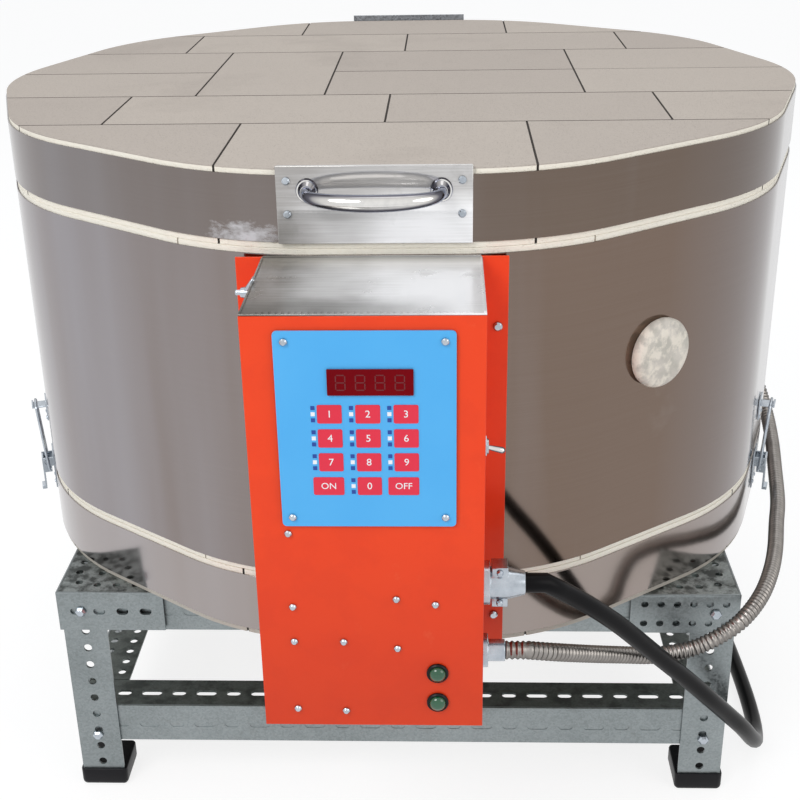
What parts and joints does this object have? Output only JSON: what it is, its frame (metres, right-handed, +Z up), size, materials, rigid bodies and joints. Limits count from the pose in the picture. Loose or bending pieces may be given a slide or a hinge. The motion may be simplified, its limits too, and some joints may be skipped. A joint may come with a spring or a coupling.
{
  "type": "glass kiln",
  "caption": "Round-cornered brick kiln with a hinged lid, steel jacket, side latches, peephole plug, digital control box and power cord, on a stand of slotted angle.",
  "frame": {"origin": "middle of the bounding box without the free cord, on the floor under the feet", "axes": "+Z up, the control box and the lid's handle face -Y, the power cord leaves towards +X"},
  "size_m": [0.7596, 0.9935, 0.6094],
  "materials": {
    "stainless": "satin",
    "firebrick": "rough porous brick",
    "galvanised": "spangled zinc",
    "orange_paint": "smooth enamel",
    "blue_panel": "printed film",
    "dark_window": "dark red window",
    "chrome": "polished",
    "zinc": "zinc plated",
    "black_rubber": "matt",
    "black_plastic": "matt",
    "green_lens": "tinted lens",
    "element_wire": "oxidised",
    "ceramic": "fired ceramic",
    "circuit_board": "board"
  },
  "bodies": {
    "kiln": {"leg_front_left": "galvanised", "foot_front_left": "black_plastic", "gusset_front_left": "galvanised", "leg_front_right": "galvanised", "foot_front_right": "black_plastic", "gusset_front_right": "galvanised", "leg_back_left": "galvanised", "foot_back_left": "black_plastic", "gusset_back_left": "galvanised", "leg_back_right": "galvanised", "foot_back_right": "black_plastic", "gusset_back_right": "galvanised", "top_rail_front": "galvanised", "top_rail_back": "galvanised", "top_rail_left": "galvanised", "top_rail_right": "galvanised", "lower_rail_front": "galvanised", "lower_rail_back": "galvanised", "lower_rail_left": "galvanised", "lower_rail_right": "galvanised", "floor_slab": "firebrick", "floor_band": "stainless", "ring_brick": "firebrick", "ring_jacket": "stainless", "heating_element": "element_wire", "thermocouple": "ceramic", "ring_hinge_leaf": "galvanised", "hinge_pin": "zinc", "box_back_plate": "orange_paint", "box_cover": "orange_paint", "box_top": "galvanised", "controller_panel": "blue_panel", "display_window": "dark_window", "controller_board": "circuit_board", "power_relay": "black_plastic", "pilot_lamp_lower": "green_lens", "pilot_lamp_upper": "green_lens", "toggle_switch": "zinc", "cord_connector": "zinc", "conduit_connector": "zinc", "terminal_box": "galvanised", "conduit": "zinc", "power_cord": "black_rubber", "power_cord_coil": "black_rubber", "power_plug": "black_rubber", "latch_base_left": "zinc", "latch_keeper_left": "zinc", "latch_base_right": "zinc", "latch_keeper_right": "zinc"},
    "lid": {"lid_slab": "firebrick", "lid_band": "stainless", "handle_plate": "galvanised", "lid_handle": "chrome", "lid_hinge_leaf": "galvanised"},
    "plug": {"peephole_plug": "ceramic"},
    "toggle": {"toggle_bat": "chrome"},
    "lever_left": {"latch_lever_left": "zinc"},
    "bail_left": {"latch_bail_left": "zinc"},
    "lever_right": {"latch_lever_right": "zinc"},
    "bail_right": {"latch_bail_right": "zinc"}
  },
  "joints": [
    {"name": "lid_hinge", "type": "hinge", "parent": "kiln", "child": "lid", "pos_m": [-0.01643, 0.42203, 0.54575], "axis": [-1, 0, 0], "range_deg": [0, 90]},
    {"name": "plug_slide", "type": "slide", "parent": "kiln", "child": "plug", "axis": [0.5878, -0.809, 0], "range_m": [0, 0.085]},
    {"name": "toggle_hinge", "type": "hinge", "parent": "kiln", "child": "toggle", "pos_m": [0.05352, -0.36377, 0.419], "axis": [0, -1, 0], "range_deg": [0, 26]},
    {"name": "lever_left_hinge", "type": "hinge", "parent": "kiln", "child": "lever_left", "pos_m": [-0.36433, -0.05851, 0.2555], "axis": [-0.309, 0.9511, 0], "range_deg": [0, 90]},
    {"name": "bail_left_hinge", "type": "hinge", "parent": "lever_left", "child": "bail_left", "pos_m": [-0.36284, -0.05803, 0.24664], "axis": [-0.309, 0.9511, 0], "range_deg": [-80, 0]},
    {"name": "lever_right_hinge", "type": "hinge", "parent": "kiln", "child": "lever_right", "pos_m": [0.33147, -0.05851, 0.2555], "axis": [-0.309, -0.9511, 0], "range_deg": [0, 90]},
    {"name": "bail_right_hinge", "type": "hinge", "parent": "lever_right", "child": "bail_right", "pos_m": [0.32998, -0.05803, 0.24664], "axis": [-0.309, -0.9511, 0], "range_deg": [-80, 0]}
  ],
  "couplings": [
    {"joint": "bail_left_hinge", "follows": "lever_left_hinge", "ratio": -0.88},
    {"joint": "bail_right_hinge", "follows": "lever_right_hinge", "ratio": -0.88}
  ]
}
